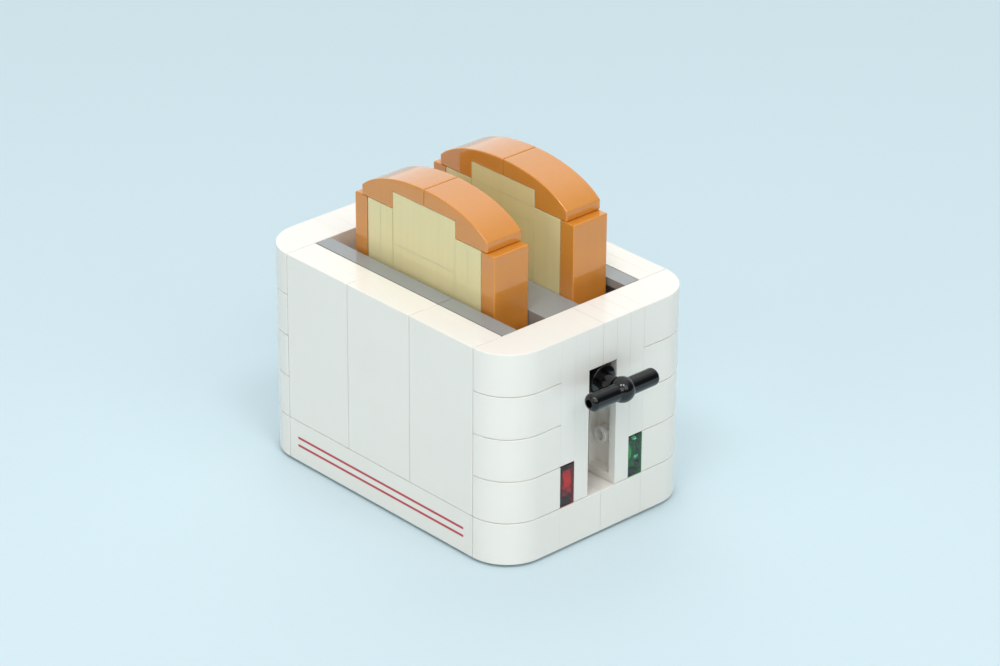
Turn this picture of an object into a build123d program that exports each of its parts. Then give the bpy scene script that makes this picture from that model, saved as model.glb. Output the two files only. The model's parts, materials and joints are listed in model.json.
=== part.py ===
from build123d import *
from math import acos, degrees
import os

# A toaster built from toy bricks laid on their sides, with two slices of toast and a lever
# Millimetres, +Z up, the lever at -Y, the long tiled sides at -X and +X
# Stud, plate and brick, the grid that every piece keeps
pitch = 8.0
plates_per_pitch = 2.5
stud_dia = 4.8
stud_height = 1.6
# Clearances: each piece stays short of its grid cell, a stud is loose in its socket,
# the two halves stand a hair apart, and the grey strips and the crust tiles aren't pushed home
side_gap = 0.06
clutch_gap = 0.05
running_gap = 0.06
slide_gap = 0.1
middle_gap = 0.06
strip_gap = 0.25
crust_gap = 0.2
# Moulded pieces
roof = 1.2
tube_wall = 0.8
post_wall = 0.6
edge_round = 0.12
rim_round = 0.05
crust_round = 0.25
stud_round = 0.2
# Casing, counted in studs along the opening and in rows of side-laid bricks up the wall
opening_studs = 6
rows = 5
tile_studs = 2
strip_joint_studs = 2
# Slices
slice_studs = 4
crumb_plates = 2
side_rows = 3
foot_plates = 3
seated_stack = (3, 3)
loose_stack = (1, 3, 1, 1)
crust_cap = 3.1
crust_end_height = 1.85
crust_overreach = 1.66
loose_slice_shift = -2.3
# Lever
bar_dia = 3.18
bar_length = 15.4
bar_end_round = 0.9
bar_hole_dia = 1.45
bar_hole_depth = 2.5
knob_dia = 4.56
knob_reach = 4.6
collar_dia = 5.5
collar_front = 0.2
socket_front = 2.0
socket_axis_drop = 2.7
stem_end_wall = 1.5
socket_join = 1.0
# Carriage and inner frame
toe_studs = 1
arm_studs = 3
upright_plates = 3.5
axis_above_upright = 7.2
spine_courses = 3
strip_drop = 1.6

# Worked out from the values above
plate = pitch / plates_per_pitch
brick = foot_plates * plate
half_plate = plate / 2
stud_r = stud_dia / 2
wall = pitch / 2 - side_gap - stud_r - clutch_gap
post_r = pitch / 2 - stud_r - clutch_gap
tube_r = pitch / 2 ** 0.5 - stud_r - clutch_gap
half_opening = opening_studs * pitch / 2
half_length = half_opening + pitch
half_floor = half_opening - toe_studs * pitch
case_height = rows * pitch
# Steps across the casing, in plates from its middle plane
middle_step = middle_gap / 2 / plate
slot_step = 1
inner_step = 2
corner_step = 3
strip_step = 4 - strip_gap / plate
wall_step = 5
tile_step = 6
outer_step = 7
slice_x = pitch
crust_rise = plate + crust_cap
# Heights of the carriage, hung from the top of the lever's slot
slot_top = case_height - pitch
axis_z = slot_top - slide_gap - socket_axis_drop
arm_z = axis_z - axis_above_upright
crossbar_z = arm_z - plate
arm_top = arm_z + plate
travel = crossbar_z - plate - stud_height - slide_gap
upright_y = -half_floor + pitch / 2
seat_y = -half_floor + (arm_studs - 1) * pitch
knob_y = -half_length - knob_reach
# The row's origin is under the middle of the whole thing, lever included
reach = knob_y - knob_dia / 2
origin_shift = -(half_length - side_gap + reach) / 2

BOTTOM = (Align.CENTER, Align.CENTER, Align.MIN)


def runs(total, longest):
    """A run of studs split into pieces no longer than longest."""
    whole = [longest] * (total // longest)
    return whole + ([total % longest] if total % longest else [])


def spread(count):
    """Middles of count cells, centred on 0."""
    return [(i - (count - 1) / 2) * pitch for i in range(count)]


def block(nx, ny, thick, studs=True, soft=edge_round):
    """A plain piece, nx by ny studs, on a sharp foot, its upper edge rounded less under studs."""
    shape = Box(nx * pitch - 2 * side_gap, ny * pitch - 2 * side_gap, thick, align=BOTTOM)
    upright = shape.edges().filter_by(Axis.Z)
    if not studs:
        return fillet(upright + shape.edges().group_by(Axis.Z)[-1], soft)
    shape = fillet(upright, soft)
    return fillet(shape.edges().group_by(Axis.Z)[-1], rim_round)


def hollowed(shape, nx, ny, thick):
    """The open underside with its walls, and tubes or slim posts between the sockets."""
    depth = thick - roof
    inside_x = nx * pitch - 2 * side_gap - 2 * wall
    inside_y = ny * pitch - 2 * side_gap - 2 * wall
    shape -= Box(inside_x, inside_y, depth, align=BOTTOM)
    if min(nx, ny) == 1:
        outer, inner = post_r, post_r - post_wall
        spots = [(x, 0) for x in spread(nx - 1)] if ny == 1 else [(0, y) for y in spread(ny - 1)]
    else:
        outer, inner = tube_r, tube_r - tube_wall
        spots = [(x, y) for x in spread(nx - 1) for y in spread(ny - 1)]
    ring = Cylinder(outer, depth + roof / 4, align=BOTTOM) - Cylinder(inner, depth, align=BOTTOM)
    return shape + [Pos(x, y, 0) * ring for x, y in spots] if spots else shape


def stud():
    """One stud, sunk a little into the face it stands on."""
    sink = roof / 4
    shape = Cylinder(stud_r, stud_height + sink, align=BOTTOM)
    shape = fillet(shape.edges().group_by(Axis.Z)[-1], stud_round)
    return Pos(0, 0, -sink) * shape


def studded(shape, spots, height):
    return shape + [Pos(x, y, height) * stud() for x, y in spots]


def piece(nx, ny, thick, studs=True, soft=edge_round):
    """A plate or brick with studs, or a tile without."""
    shape = hollowed(block(nx, ny, thick, studs, soft), nx, ny, thick)
    if studs:
        shape = studded(shape, [(x, y) for x in spread(nx) for y in spread(ny)], thick)
    return shape


def jumper():
    """A plate two studs wide with one stud in its middle."""
    return studded(hollowed(block(2, 1, plate), 2, 1, plate), [(0, 0)], plate)


def outward(shape, side, step, y, z):
    """Lay a piece on its side, underside at a step from the middle plane, studs outwards."""
    at = Plane(origin=(side * step * plate, y, z), x_dir=(0, side, 0), z_dir=(side, 0, 0))
    return at.location * shape


def endways(shape, side, x, y, z):
    """Lay a piece with its studs along Y."""
    at = Plane(origin=(x, y, z), x_dir=(-side, 0, 0), z_dir=(0, side, 0))
    return at.location * shape


def row_middle(first, count):
    """Middle height of a piece that fills count rows from row first."""
    return (first + count / 2) * pitch - side_gap


def side_piece(side, step, thick, y, first, ny, nx=1, studs=True):
    return outward(piece(nx, ny, thick, studs), side, step, y, row_middle(first, ny))


# Casing


def corner_brick(side, end, row):
    """A brick with a quarter-round corner, its socket towards the middle of the end wall."""
    round_r = pitch - 2 * side_gap
    height = (outer_step - corner_step) * plate
    low, high = -pitch / 2 + side_gap, pitch / 2 - side_gap
    outline = Polyline((low, height - round_r), (low, 0), (high, 0), (high, height))
    arc = CenterArc((high, height - round_r), round_r, 90, 90)
    face = make_face(outline.edges() + arc.edges())
    shape = extrude(Plane.XZ * face, pitch - 2 * side_gap)
    shape = Pos(0, -shape.center().Y, 0) * shape
    shape = fillet([e for e in shape.edges() if e.center().Z > edge_round], edge_round)
    socket = stud_dia + 2 * clutch_gap
    shape -= Box(socket, socket, height - round_r + stud_height, align=BOTTOM)
    if side * end > 0:
        shape = mirror(shape, about=Plane.YZ)
    return outward(shape, side, corner_step, end * (half_opening + pitch / 2), row_middle(row, 1))


def corner_column(side, end):
    return [corner_brick(side, end, row) for row in range(rows)]


def row_of(side, step, thick, widths, first, ny, studs=True):
    """Pieces in line along the opening, from the lever's end."""
    parts = []
    y = -half_opening
    for count in widths:
        middle = y + count * pitch / 2
        parts.append(side_piece(side, step, thick, middle, first, ny, count, studs))
        y += count * pitch
    return parts


def end_column(end, side, step, first, ny, thick=plate):
    return side_piece(side, step, thick, end * (half_opening + pitch / 2), first, ny)


def both(make):
    return [make(side) for side in (-1, 1)]


# Inner frame


def base_brick(side, end):
    """A side-laid brick under the end wall that reaches into the opening."""
    count = 1 + toe_studs
    thick = brick - middle_gap / 2
    return side_piece(side, middle_step, thick, end * (half_length - count * pitch / 2), 0, 1, count)


def floor_spacers():
    """Single plates that fill the bottom row between the base bricks and the side walls."""
    parts = []
    for end in (-1, 1):
        y = end * (half_opening - toe_studs * pitch / 2)
        for side in (-1, 1):
            parts += [side_piece(side, step, plate, y, 0, 1, toe_studs)
                      for step in range(corner_step, wall_step)]
    return parts


def wall_bracket(side):
    """An angle piece: one leg on the floor plate, a thin one against the side wall."""
    y = half_floor - pitch / 2
    foot = Pos(side * (wall_step * plate - pitch / 2), y, plate) * piece(1, 1, plate)
    base = 2 * plate - roof
    leg = Box(half_plate, pitch - 2 * side_gap, 2 * pitch - 2 * side_gap - base, align=BOTTOM)
    leg = Pos(side * (wall_step * plate - half_plate / 2), y, base) * leg
    return foot + leg + outward(stud(), side, wall_step, y, row_middle(1, 1))


def floor_plate():
    return piece(round(2 * wall_step * plate / pitch), round(2 * half_floor / pitch), plate)


def jumpers():
    """Jumper plates that carry the spine on the middle plane."""
    count = round(2 * half_floor / pitch) - 1
    return [Pos(0, y + pitch / 2, plate) * jumper() for y in spread(count)]


def spine():
    """Courses of one-stud bricks between the two slots, laid in bond."""
    whole = opening_studs - 1 - toe_studs
    top = case_height - strip_drop - plate
    course = (top - 2 * plate) / spine_courses
    front, back = half_opening - whole * pitch, half_opening
    long_bricks, short_bricks = [], []
    for level in range(spine_courses):
        z = 2 * plate + level * course
        from_front = level % 2 == 0
        long_y = (front + back - pitch) / 2 if from_front else (front + back + pitch) / 2
        short_y = back - pitch / 2 if from_front else front + pitch / 2
        long_bricks.append(Pos(0, long_y, z) * piece(1, whole - 1, course))
        if level > 0:
            short_bricks.append(Pos(0, short_y, z) * piece(1, 1, course))
    return long_bricks, short_bricks


def middle_strip():
    return Pos(0, 0, case_height - strip_drop - plate) * piece(1, opening_studs, plate, False)


# Carriage and lever


def carriage_crossbar():
    return Pos(0, upright_y, crossbar_z) * piece(round(2 * slice_x / pitch) + 1, 1, plate)


def carriage_arm(side):
    y = -half_floor + arm_studs * pitch / 2
    return Pos(side * slice_x, y, arm_z) * piece(1, arm_studs, plate)


def along_y(radius, start, length):
    """A round bar from y start towards +Y, on the lever's axis."""
    at = Plane(origin=(0, start, axis_z), x_dir=(1, 0, 0), z_dir=(0, 1, 0))
    return at.location * Cylinder(radius, length, align=BOTTOM)


def carriage_upright():
    """The block on the crossbar that holds the end of the lever's socket."""
    shape = block(1, 1, upright_plates * plate)
    recess = stud_dia + 2 * clutch_gap
    shape -= Box(recess, recess, stud_height + clutch_gap, align=BOTTOM)
    shape = Pos(0, upright_y, arm_z) * shape
    return shape - along_y(stud_r + clutch_gap, upright_y - pitch, 2 * pitch)


def lever_socket():
    """The block that runs in the slot, its round collar in front and its pin behind."""
    width = 2 * (slot_step * plate - slide_gap)
    height = pitch - 2 * slide_gap
    front = -half_length + socket_front
    back = -half_opening - slide_gap
    shape = Box(width, back - front, height, align=BOTTOM)
    shape = fillet(shape.edges(), edge_round)
    shape = Pos(0, (front + back) / 2, slot_top - slide_gap - height) * shape
    collar_length = collar_front + socket_front + socket_join
    collar = along_y(collar_dia / 2, -half_length - collar_front, collar_length)
    collar = fillet(collar.edges().group_by(Axis.Y)[0], edge_round)
    pin_end = upright_y + pitch / 2 - side_gap
    shape += collar + along_y(stud_r, back - socket_join, pin_end - back + socket_join)
    bore = bar_dia / 2 + running_gap
    return shape - along_y(bore, -half_length - pitch, stem_end() + slide_gap + half_length + pitch)


def stem_end():
    """Where the lever's stem stops inside its socket."""
    return -half_opening - stem_end_wall


def lever_handle():
    """A cross bar with a ball at its middle, and the stem that turns in the socket."""
    half_bar = bar_length / 2
    across = Plane(origin=(-half_bar, knob_y, axis_z), x_dir=(0, 1, 0), z_dir=(1, 0, 0))
    bar = Cylinder(bar_dia / 2, bar_length, align=BOTTOM)
    bar = fillet(bar.edges().filter_by(GeomType.CIRCLE), bar_end_round)
    bar -= Cylinder(bar_hole_dia / 2, bar_hole_depth, align=BOTTOM)
    bar -= Pos(0, 0, bar_length - bar_hole_depth) * Cylinder(bar_hole_dia / 2, bar_hole_depth, align=BOTTOM)
    knob = Pos(0, knob_y, axis_z) * Sphere(knob_dia / 2)
    return across.location * bar + knob + along_y(bar_dia / 2, knob_y, stem_end() - knob_y)


# Slices


def crust_top(end):
    """Half of the arched crust, stepped up over the tall middle of the crumb."""
    half_long = slice_studs * pitch / 2 - side_gap
    semi_height = crust_rise - crust_end_height
    half_ellipse = half_long + crust_overreach
    fall = 1 - (1 - (half_long / half_ellipse) ** 2) ** 0.5
    semi_z = semi_height / fall
    centre = crust_rise - semi_z
    edge = Line((half_long, 0), (half_long, crust_end_height))
    angle = degrees(acos(half_long / half_ellipse))
    arc = EllipticalCenterArc((0, centre), half_ellipse, semi_z, angle, arc_size=90 - angle)
    rest = Polyline((0, crust_rise), (0, plate), (pitch, plate), (pitch, 0), (half_long, 0))
    face = make_face(edge.edges() + arc.edges() + rest.edges())
    wide = pitch - 2 * side_gap
    shape = extrude(Plane.YZ * face, wide)
    shape = Pos(-shape.center().X, 0, 0) * shape
    notch = Vector(0, pitch, plate)
    shape = fillet([e for e in shape.edges() if (e.center() - notch).length > crust_round], crust_round)
    shape = Pos(0, side_gap / 2, 0) * shape
    socket = stud_dia + 2 * clutch_gap
    shape -= Pos(0, pitch / 2, plate) * Box(socket, socket, stud_height + clutch_gap, align=BOTTOM)
    return shape if end > 0 else mirror(shape, about=Plane.XZ)


def side_stud_bricks():
    """Two one-stud bricks, each with a stud on its outer end."""
    parts = []
    for end in (-1, 1):
        brick_shape = Pos(0, end * pitch / 2, 0) * piece(1, 1, brick)
        height = half_plate + pitch / 2
        parts.append(brick_shape + endways(stud(), end, 0, end * (pitch - side_gap), height))
    return parts


def side_layer(end, layer, studs=True, soft=edge_round, gap=0):
    """One upright layer of plates or tiles beside the core."""
    y = end * (pitch + layer * plate + gap)
    upright = piece(1, side_rows, plate, studs, soft)
    return endways(upright, end, 0, y, half_plate + side_rows * pitch / 2)


def core_pieces(stack):
    """Flat two-stud pieces on the side-stud bricks, bottom first."""
    parts = []
    z = brick
    for plates in stack:
        parts.append(Pos(0, 0, z) * piece(1, 2, plates * plate))
        z += plates * plate
    return parts


def slice_nodes(stack):
    """Every piece of one slice, standing on z 0 with its middle at x 0 and y 0."""
    crumb = [side_layer(end, layer) for end in (-1, 1) for layer in range(crumb_plates)]
    crust = [side_layer(end, crumb_plates, False, crust_round, crust_gap) for end in (-1, 1)]
    arch_z = (foot_plates + sum(stack) - 1) * plate
    tops = [Pos(0, 0, arch_z) * crust_top(end) for end in (-1, 1)]
    core = core_pieces(stack)
    return {"foot_bricks": side_stud_bricks(), "core": core, "crumb_plates": crumb,
            "crust_tiles": crust, "crust_tops": tops}


def placed(parts, x, y, z):
    return [Pos(x, y, z) * p for p in parts]


# Writing the parts


def save(name, parts):
    """One file per node, moved so that the origin is under the middle of the whole thing."""
    parts = parts if isinstance(parts, list) else [parts]
    moved = [solid for p in parts for solid in (Pos(0, origin_shift, 0) * p).solids()]
    shape = moved[0] if len(moved) == 1 else Compound(children=moved)
    export_step(shape, f"parts/{name}.step")


def save_casing():
    for side, side_name in ((-1, "left"), (1, "right")):
        for end, end_name in ((-1, "front"), (1, "back")):
            save(f"corner_bricks_{end_name}_{side_name}", corner_column(side, end))
        tall = runs(opening_studs, tile_studs)
        strips = [strip_joint_studs, opening_studs - strip_joint_studs]
        save(f"side_tiles_{side_name}", row_of(side, tile_step, plate, tall, 1, rows - 1, False))
        save(f"base_tile_{side_name}", row_of(side, tile_step, plate, [opening_studs], 0, 1, False))
        save(f"wall_plate_{side_name}", row_of(side, wall_step, plate, [opening_studs], 0, rows - 1))
        save(f"wall_top_plates_{side_name}", row_of(side, wall_step, plate, strips, rows - 1, 1))
        save(f"slot_strips_{side_name}", row_of(side, strip_step, plate, strips, rows - 1, 1))
    save("base_bricks_front", both(lambda s: base_brick(s, -1)))
    save("base_bricks_back", both(lambda s: base_brick(s, 1)))
    save("front_inner_plates", both(lambda s: end_column(-1, s, slot_step, 1, rows - 1)))
    save("front_outer_plates", both(lambda s: end_column(-1, s, inner_step, 2, rows - 2)))
    thin = plate - middle_gap / 2
    save("front_lintel_plates", both(lambda s: end_column(-1, s, middle_step, rows - 1, 1, thin)))
    save("red_light_plate", end_column(-1, -1, inner_step, 1, 1))
    save("green_light_plate", end_column(-1, 1, inner_step, 1, 1))
    save("back_middle_plates", both(lambda s: end_column(1, s, middle_step, 1, rows - 1, thin)))
    save("back_inner_plates", both(lambda s: end_column(1, s, slot_step, 1, rows - 1)))
    save("back_outer_plates", both(lambda s: end_column(1, s, inner_step, 1, rows - 1)))


def save_inner_frame():
    save("floor_plate", floor_plate())
    save("floor_spacers", floor_spacers())
    save("wall_brackets", both(wall_bracket))
    save("jumper_plates", jumpers())
    long_bricks, short_bricks = spine()
    save("spine_long_bricks", long_bricks)
    save("spine_short_bricks", short_bricks)
    save("middle_strip", middle_strip())


def save_carriage():
    save("carriage_crossbar", carriage_crossbar())
    save("carriage_arms", both(carriage_arm))
    save("carriage_upright", carriage_upright())
    save("lever_socket", lever_socket())
    save("lever_handle", lever_handle())


def save_slices():
    """The left slice sits on the arm's studs, the right one stands loose on top of them."""
    seated = slice_nodes(seated_stack)
    loose = slice_nodes(loose_stack)
    for part, pieces in seated.items():
        save(f"left_slice_{part}", placed(pieces, -slice_x, seat_y, arm_top))
    for part, pieces in loose.items():
        y = seat_y + loose_slice_shift
        save(f"right_slice_{part}", placed(pieces, slice_x, y, arm_top + stud_height))


os.makedirs("parts", exist_ok=True)
save_casing()
save_inner_frame()
save_carriage()
save_slices()
print(f"travel {travel:.2f} mm, lever axis {axis_z:.2f} mm up, origin shift {origin_shift:.3f} mm")
print(f"slice feet {arm_top:.2f} and {arm_top + stud_height:.2f} mm up")
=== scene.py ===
import json
import math
import bmesh
import bpy
from mathutils import Matrix, Vector


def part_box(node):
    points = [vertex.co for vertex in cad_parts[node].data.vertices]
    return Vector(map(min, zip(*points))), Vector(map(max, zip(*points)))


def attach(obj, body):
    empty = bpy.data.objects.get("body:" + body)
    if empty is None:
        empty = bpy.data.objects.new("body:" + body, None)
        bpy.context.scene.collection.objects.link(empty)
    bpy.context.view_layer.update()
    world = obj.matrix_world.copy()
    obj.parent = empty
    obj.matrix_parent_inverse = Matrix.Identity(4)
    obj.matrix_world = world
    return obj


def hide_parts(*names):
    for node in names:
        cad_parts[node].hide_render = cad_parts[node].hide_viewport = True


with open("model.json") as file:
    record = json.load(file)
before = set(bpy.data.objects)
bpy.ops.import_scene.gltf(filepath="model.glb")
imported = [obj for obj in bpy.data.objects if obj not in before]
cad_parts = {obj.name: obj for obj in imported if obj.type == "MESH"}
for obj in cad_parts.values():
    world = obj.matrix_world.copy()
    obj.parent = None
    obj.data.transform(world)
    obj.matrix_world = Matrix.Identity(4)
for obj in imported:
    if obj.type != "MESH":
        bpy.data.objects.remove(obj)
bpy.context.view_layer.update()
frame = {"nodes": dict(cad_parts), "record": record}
mm = 0.001


def linearColour(hexText, alpha=1.0):
    # sRGB hex to the linear values that the shaders take
    parts = [int(hexText[i:i + 2], 16) / 255 for i in (1, 3, 5)]
    flat = [c / 12.92 if c <= 0.04045 else ((c + 0.055) / 1.055) ** 2.4 for c in parts]
    return (*flat, alpha)


def addNode(owner, kind, settings=None, slots=(), **inputs):
    # one node in a material or the world, its sockets, by place or by name, given a value or a socket
    tree = owner.node_tree
    node = tree.nodes.new(kind)
    for key, value in (settings or {}).items():
        setattr(node, key, value)
    given = [(node.inputs[i], value) for i, value in enumerate(slots)]
    for key, value in inputs.items():
        given.append((next(s for s in node.inputs if s.name == key.replace("_", " ") and s.enabled), value))
    for socket, value in given:
        if isinstance(value, bpy.types.NodeSocket):
            tree.links.new(value, socket)
        elif value is not None:
            socket.default_value = value
    return node


def emptyMaterial(name):
    material = bpy.data.materials.new(name)
    material.use_nodes = True
    material.node_tree.nodes.clear()
    return material


def finishMaterial(material, shader):
    addNode(material, "ShaderNodeOutputMaterial", Surface=shader.outputs[0])
    return material


# ABS, injection moulded in a polished steel tool: a hard even gloss over a colour that goes right through.
# Light creeps a little way under the pale colours, which softens their seams and warms their hollows
absPlastics = {
    "white": {"light": "#FBF7EF", "dark": "#F7F2E9", "gloss": (0.14, 0.22),
              "ripple": 0.10, "glow": 0.08, "flow": 0.2},
    "grey": {"light": "#9FA2A2", "dark": "#979B9B", "gloss": (0.10, 0.18),
             "ripple": 0.12, "glow": 0.0, "flow": 0.3},
    "black": {"light": "#0A0B0C", "dark": "#070808", "gloss": (0.03, 0.06),
              "ripple": 0.10, "glow": 0.0, "flow": 0.2},
    "crust": {"light": "#E0933A", "dark": "#D78A31", "gloss": (0.06, 0.11),
              "ripple": 0.16, "glow": 0.2, "flow": 0.4, "skin": 0.7},
    "crumb": {"light": "#F1E4B1", "dark": "#E8D9A1", "gloss": (0.07, 0.13),
              "ripple": 0.14, "glow": 0.3, "flow": 0.7},
}
absSurface = {
    "ior": 1.54,
    "cloudSize": 9 * mm, "cloudDetail": 3.0,  # the slow drift of the pigment
    "streakWide": 0.9 * mm, "streakLong": 24 * mm, "streakDetail": 2.0,  # the melt's run up the mould
    "markSize": 2.5 * mm, "markDetail": 5.0, "markRough": 0.65,  # finger marks and wear in the gloss
    "markFrom": 0.3, "markTo": 0.7,  # the share of that noise that moves the gloss
    "rippleSize": 7 * mm, "rippleHeight": 0.05 * mm, "rippleDetail": 1.0,  # the moulding's sink and flow
    "glowDepth": 1.2 * mm, "glowReach": (1.0, 0.88, 0.76),  # how far light creeps under the skin
    "skinGloss": 0.05,  # of the hard skin that the crust has on top
}


def mouldedAbs(name, look):
    material = emptyMaterial(name)
    place = addNode(material, "ShaderNodeTexCoord").outputs["Object"]
    cloud = addNode(material, "ShaderNodeTexNoise", Vector=place, Scale=1 / absSurface["cloudSize"],
                    Detail=absSurface["cloudDetail"])
    across, along = 1 / absSurface["streakWide"], 1 / absSurface["streakLong"]
    run = addNode(material, "ShaderNodeMapping", Vector=place, Scale=(across, across, along))
    streak = addNode(material, "ShaderNodeTexNoise", Vector=run.outputs["Vector"], Scale=1.0,
                     Detail=absSurface["streakDetail"])
    blend = addNode(material, "ShaderNodeMix", Factor=look["flow"], A=cloud.outputs["Fac"],
                    B=streak.outputs["Fac"])
    tone = addNode(material, "ShaderNodeMix", {"data_type": "RGBA"}, Factor=blend.outputs[0],
                   A=linearColour(look["dark"]), B=linearColour(look["light"]))
    marks = addNode(material, "ShaderNodeTexNoise", Vector=place, Scale=1 / absSurface["markSize"],
                    Detail=absSurface["markDetail"], Roughness=absSurface["markRough"])
    gloss = addNode(material, "ShaderNodeMapRange", Value=marks.outputs["Fac"],
                    From_Min=absSurface["markFrom"], From_Max=absSurface["markTo"],
                    To_Min=look["gloss"][0], To_Max=look["gloss"][1])
    ripple = addNode(material, "ShaderNodeTexNoise", Vector=place, Scale=1 / absSurface["rippleSize"],
                     Detail=absSurface["rippleDetail"])
    bump = addNode(material, "ShaderNodeBump", Strength=look["ripple"], Distance=absSurface["rippleHeight"],
                   Height=ripple.outputs["Fac"])
    colour, roughness = tone.outputs[2], gloss.outputs["Result"]
    if "print" in look:
        ink = pinstripe(material, place, look["print"])
        printed = addNode(material, "ShaderNodeMix", {"data_type": "RGBA"}, Factor=ink, A=colour,
                          B=linearColour(look["print"]["ink"]))
        matted = addNode(material, "ShaderNodeMix", Factor=ink, A=roughness, B=look["print"]["roughness"])
        colour, roughness = printed.outputs[2], matted.outputs[0]
    shader = addNode(material, "ShaderNodeBsdfPrincipled", Base_Color=colour, Roughness=roughness,
                     IOR=absSurface["ior"], Normal=bump.outputs["Normal"], Subsurface_Weight=look["glow"],
                     Subsurface_Radius=absSurface["glowReach"], Subsurface_Scale=absSurface["glowDepth"],
                     Coat_Weight=look.get("skin", 0.0), Coat_Roughness=absSurface["skinGloss"],
                     Coat_Normal=bump.outputs["Normal"])
    return finishMaterial(material, shader)


# Two thin red lines printed along the bottom tile on the left, a plain trim
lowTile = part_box("base_tile_left")
trim = {
    "ink": "#C62C3A", "roughness": 0.34,
    "face": lowTile[0].x, "skin": 0.3 * mm,  # only this depth of the outer face is printed
    "middle": ((lowTile[0].y + lowTile[1].y) / 2, (lowTile[0].z + lowTile[1].z) / 2),
    "halfLength": (lowTile[1].y - lowTile[0].y) / 2 - 2.4 * mm,
    "fromMiddle": 0.75 * mm,
    "halfWidth": 0.23 * mm, "soft": 0.03 * mm,
}


def pinstripe(material, place, lines):
    # 1 on the lines, whose ends are round, and 0 elsewhere
    axes = addNode(material, "ShaderNodeSeparateXYZ", Vector=place)
    maths = "ShaderNodeMath"
    fromY = addNode(material, maths, {"operation": "SUBTRACT"}, (axes.outputs["Y"], lines["middle"][0]))
    awayY = addNode(material, maths, {"operation": "ABSOLUTE"}, (fromY.outputs[0],))
    pastEnd = addNode(material, maths, {"operation": "SUBTRACT"}, (awayY.outputs[0], lines["halfLength"]))
    overrun = addNode(material, maths, {"operation": "MAXIMUM"}, (pastEnd.outputs[0], 0.0))
    fromZ = addNode(material, maths, {"operation": "SUBTRACT"}, (axes.outputs["Z"], lines["middle"][1]))
    awayZ = addNode(material, maths, {"operation": "ABSOLUTE"}, (fromZ.outputs[0],))
    offLine = addNode(material, maths, {"operation": "SUBTRACT"}, (awayZ.outputs[0], lines["fromMiddle"]))
    gap = addNode(material, "ShaderNodeCombineXYZ", X=overrun.outputs[0], Y=offLine.outputs[0])
    reach = addNode(material, "ShaderNodeVectorMath", {"operation": "LENGTH"}, (gap.outputs["Vector"],))
    line = addNode(material, "ShaderNodeMapRange", Value=reach.outputs["Value"],
                   From_Min=lines["halfWidth"] + lines["soft"], From_Max=lines["halfWidth"] - lines["soft"])
    deep = addNode(material, maths, {"operation": "LESS_THAN"},
                   (axes.outputs["X"], lines["face"] + lines["skin"]))
    inked = addNode(material, maths, {"operation": "MULTIPLY"}, (line.outputs["Result"], deep.outputs[0]))
    return inked.outputs[0]


# Polycarbonate, moulded clear and dyed: deep colour, sharp reflections, what is behind it glows.
# Lamp light passes through it, so that the white studs behind are lit
clearPlastics = {
    "clearRed": {"light": "#FF2034", "dark": "#F41028", "lets": "#DC1228"},
    "clearGreen": {"light": "#5CE89C", "dark": "#40CC84", "lets": "#58D492"},
}
clearSurface = {"ior": 1.58, "cloudSize": 3 * mm, "cloudDetail": 2.0, "gloss": (0.09, 0.13)}


def clearPlastic(name, look):
    material = emptyMaterial(name)
    place = addNode(material, "ShaderNodeTexCoord").outputs["Object"]
    cloud = addNode(material, "ShaderNodeTexNoise", Vector=place, Scale=1 / clearSurface["cloudSize"],
                    Detail=clearSurface["cloudDetail"])
    tone = addNode(material, "ShaderNodeMix", {"data_type": "RGBA"}, Factor=cloud.outputs["Fac"],
                   A=linearColour(look["dark"]), B=linearColour(look["light"]))
    gloss = addNode(material, "ShaderNodeMapRange", Value=cloud.outputs["Fac"],
                    To_Min=clearSurface["gloss"][0], To_Max=clearSurface["gloss"][1])
    body = addNode(material, "ShaderNodeBsdfPrincipled", Base_Color=tone.outputs[2],
                   Roughness=gloss.outputs["Result"], IOR=clearSurface["ior"], Transmission_Weight=1.0)
    through = addNode(material, "ShaderNodeBsdfTransparent", Color=linearColour(look["lets"]))
    path = addNode(material, "ShaderNodeLightPath")
    shader = addNode(material, "ShaderNodeMixShader", None,
                     (path.outputs["Is Shadow Ray"], body.outputs[0], through.outputs[0]))
    return finishMaterial(material, shader)


finishes = {name: mouldedAbs(f"moulded-{name}-abs", look) for name, look in absPlastics.items()}
for name, look in clearPlastics.items():
    finishes[name] = clearPlastic(f"{name}-polycarbonate", look)
trimmed = mouldedAbs("printed-white-abs", {**absPlastics["white"], "print": trim})
slotFinish = {
    "white_plastic": "white", "grey_plastic": "grey", "black_plastic": "black", "crust_plastic": "crust",
    "crumb_plastic": "crumb", "clear_red_plastic": "clearRed", "clear_green_plastic": "clearGreen",
}
slotOf = {p["node"]: p["material_slot"] for p in frame["record"]["subparts"]}
bodyOf = {n: b for b, names in frame["record"]["behaviour"]["bodies"].items() for n in names}
print("finishes made")

# Flat-sided pieces are right as they come, and only take their finish
for node, carried in frame["nodes"].items():
    finish = trimmed if node == "base_tile_left" else finishes[slotFinish[slotOf[node]]]
    for holder in carried.material_slots:
        holder.material = finish

# The pieces with curved walls are welded copies, so that the moulded curves shade as one surface
curved = {
    "nodes": ["corner_bricks_front_left", "corner_bricks_front_right", "corner_bricks_back_left",
              "corner_bricks_back_right", "left_slice_crust_tops", "right_slice_crust_tops", "lever_handle",
              "lever_socket"],
    "weld": 0.002 * mm,
    "sharpAngle": math.radians(24),
}


def curvedPiece(node):
    mesh = frame["nodes"][node].data.copy()
    shape = bmesh.new()
    shape.from_mesh(mesh)
    bmesh.ops.remove_doubles(shape, verts=shape.verts, dist=curved["weld"])
    for face in shape.faces:
        face.smooth = True
    for edge in shape.edges:
        edge.smooth = len(edge.link_faces) == 2 and edge.calc_face_angle(0) < curved["sharpAngle"]
    shape.to_mesh(mesh)
    shape.free()
    piece = bpy.data.objects.new(node + "-piece", mesh)
    bpy.context.scene.collection.objects.link(piece)
    even = piece.modifiers.new("evenShading", "WEIGHTED_NORMAL")
    even.keep_sharp = True
    even.weight = 100
    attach(piece, bodyOf[node])
    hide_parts(node)


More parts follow.
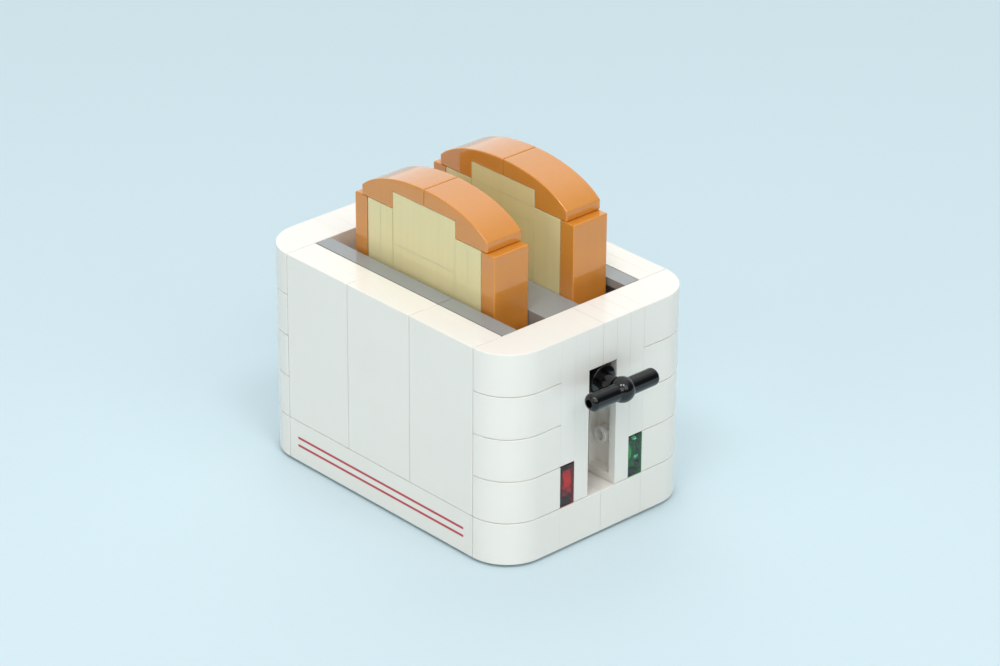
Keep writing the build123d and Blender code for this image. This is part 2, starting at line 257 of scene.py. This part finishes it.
for node in curved["nodes"]:
    curvedPiece(node)
print("curved pieces welded:", len(curved["nodes"]))

# A seamless sheet of pale blue card, evenly pale where it runs off behind
card = {
    "size": 24.0, "height": -0.6 * mm,
    "colour": "#D1E3E9", "shade": "#CDE0E7", "grain": 0.4 * mm, "grainDetail": 2.0, "roughness": 0.8,
    "far": "#D4E7ED", "evenFrom": 0.10, "evenTo": 0.75,  # metres from the object
}


def cardFloor():
    shape = bmesh.new()
    place = Matrix.Translation((0, 0, card["height"]))
    bmesh.ops.create_grid(shape, x_segments=1, y_segments=1, size=card["size"] / 2, matrix=place)
    mesh = bpy.data.meshes.new("card")
    shape.to_mesh(mesh)
    shape.free()
    floor = bpy.data.objects.new("card", mesh)
    bpy.context.scene.collection.objects.link(floor)
    material = emptyMaterial("matt-card")
    place = addNode(material, "ShaderNodeTexCoord").outputs["Object"]
    grain = addNode(material, "ShaderNodeTexNoise", Vector=place, Scale=1 / card["grain"],
                    Detail=card["grainDetail"])
    tone = addNode(material, "ShaderNodeMix", {"data_type": "RGBA"}, Factor=grain.outputs["Fac"],
                   A=linearColour(card["shade"]), B=linearColour(card["colour"]))
    lit = addNode(material, "ShaderNodeBsdfPrincipled", Base_Color=tone.outputs[2],
                  Roughness=card["roughness"])
    even = addNode(material, "ShaderNodeEmission", Color=linearColour(card["far"]), Strength=1.0)
    away = addNode(material, "ShaderNodeVectorMath", {"operation": "LENGTH"}, (place,))
    far = addNode(material, "ShaderNodeMapRange", {"interpolation_type": "SMOOTHSTEP"},
                  Value=away.outputs["Value"], From_Min=card["evenFrom"], From_Max=card["evenTo"])
    ray = addNode(material, "ShaderNodeLightPath").outputs
    seen = addNode(material, "ShaderNodeMath", {"operation": "MAXIMUM"},
                   (ray["Is Camera Ray"], ray["Is Glossy Ray"]))
    seen = addNode(material, "ShaderNodeMath", {"operation": "MAXIMUM"},
                   (seen.outputs[0], ray["Is Transmission Ray"]))
    share = addNode(material, "ShaderNodeMath", {"operation": "MULTIPLY"},
                    (far.outputs["Result"], seen.outputs[0]))
    shader = addNode(material, "ShaderNodeMixShader", None,
                     (share.outputs[0], lit.outputs[0], even.outputs[0]))
    mesh.materials.append(finishMaterial(material, shader))


cardFloor()

# Soft studio light: a bright ceiling, a pale sweep behind the object, and soft boxes by the camera
room = {
    "colour": "#EFF5F8", "dimLevel": 0.09,
    "ceilingLevel": 1.02, "ceilingFrom": 0.45, "ceilingTo": 0.95,  # by how far up a direction points
    "sweepLevel": 1.15, "sweepFrom": 0.30, "sweepTo": 0.95, "sweepTurn": 47.0,  # by how far to the back
}
softBoxes = {
    "aim": (0, 0, 0.03),
    "away": 1.2,
    "boxes": [
        {"name": "boxLeft", "turn": 178, "rise": 22, "size": 0.7, "power": 2.05, "tint": "#FFFDFB"},
        {"name": "boxRight", "turn": 268, "rise": 37, "size": 0.7, "power": 2.55, "tint": "#FFFDFB"},
        {"name": "boxMiddle", "turn": 226, "rise": 28, "size": 0.6, "power": 2.1, "tint": "#FFFDFB"},
        {"name": "keyLeft", "turn": 203, "rise": 63, "size": 0.26, "power": 2.1, "tint": "#FFFFFF"},
        {"name": "keyRight", "turn": 251, "rise": 63, "size": 0.26, "power": 2.1, "tint": "#FFFFFF"},
    ],
}


def paleRoom():
    world = bpy.data.worlds.new("room")
    bpy.context.scene.world = world
    world.use_nodes = True
    world.node_tree.nodes.clear()
    direction = addNode(world, "ShaderNodeTexCoord").outputs["Generated"]
    up = addNode(world, "ShaderNodeSeparateXYZ", Vector=direction).outputs["Z"]
    ceiling = addNode(world, "ShaderNodeMapRange", {"interpolation_type": "SMOOTHSTEP"}, Value=up,
                      From_Min=room["ceilingFrom"], From_Max=room["ceilingTo"], To_Min=room["dimLevel"],
                      To_Max=room["ceilingLevel"])
    turn = math.radians(room["sweepTurn"])
    toBack = (math.cos(turn), math.sin(turn), 0)
    back = addNode(world, "ShaderNodeVectorMath", {"operation": "DOT_PRODUCT"}, (direction, toBack))
    sweep = addNode(world, "ShaderNodeMapRange", {"interpolation_type": "SMOOTHSTEP"},
                    Value=back.outputs["Value"], From_Min=room["sweepFrom"], From_Max=room["sweepTo"],
                    To_Max=room["sweepLevel"])
    level = addNode(world, "ShaderNodeMath", {"operation": "ADD"},
                    (ceiling.outputs["Result"], sweep.outputs["Result"]))
    air = addNode(world, "ShaderNodeBackground", Color=linearColour(room["colour"]),
                  Strength=level.outputs[0])
    addNode(world, "ShaderNodeOutputWorld", Surface=air.outputs[0])


def softBox(box):
    data = bpy.data.lights.new(box["name"], "AREA")
    data.size = box["size"]
    data.energy = box["power"]
    data.color = linearColour(box["tint"])[:3]
    lamp = bpy.data.objects.new(box["name"], data)
    bpy.context.scene.collection.objects.link(lamp)
    turn, rise = math.radians(box["turn"]), math.radians(box["rise"])
    outward = Vector((math.cos(rise) * math.cos(turn), math.cos(rise) * math.sin(turn), math.sin(rise)))
    lamp.location = Vector(softBoxes["aim"]) + outward * softBoxes["away"]
    lamp.rotation_euler = outward.to_track_quat("Z", "Y").to_euler()


paleRoom()
for box in softBoxes["boxes"]:
    softBox(box)

# The camera stands where the fit of the brick grid to the photograph puts it
camera = {
    "eye": (-416.02 * mm, -453.81 * mm, 339.87 * mm),
    "target": (5.838 * mm, 3.476 * mm, 24.0 * mm),
    "roll": math.radians(0.3625),
    "lens": 143.57,
    "sensor": 36.0,
    "nearest": 0.05, "farthest": 60.0,
}


def photoCamera():
    data = bpy.data.cameras.new("camera")
    data.lens = camera["lens"]
    data.sensor_width = camera["sensor"]
    data.clip_start, data.clip_end = camera["nearest"], camera["farthest"]
    seen = bpy.data.objects.new("camera", data)
    bpy.context.scene.collection.objects.link(seen)
    back = (Vector(camera["eye"]) - Vector(camera["target"])).normalized()
    right = (-back).cross(Vector((0, 0, 1))).normalized()
    up = right.cross(-back)
    turned = right * math.cos(camera["roll"]) + up * math.sin(camera["roll"])
    above = up * math.cos(camera["roll"]) - right * math.sin(camera["roll"])
    axes = Matrix((turned, above, back)).transposed().to_4x4()
    seen.matrix_world = Matrix.Translation(camera["eye"]) @ axes
    bpy.context.scene.camera = seen


photoCamera()
bpy.context.scene.view_settings.view_transform = "Standard"
print("studio set")
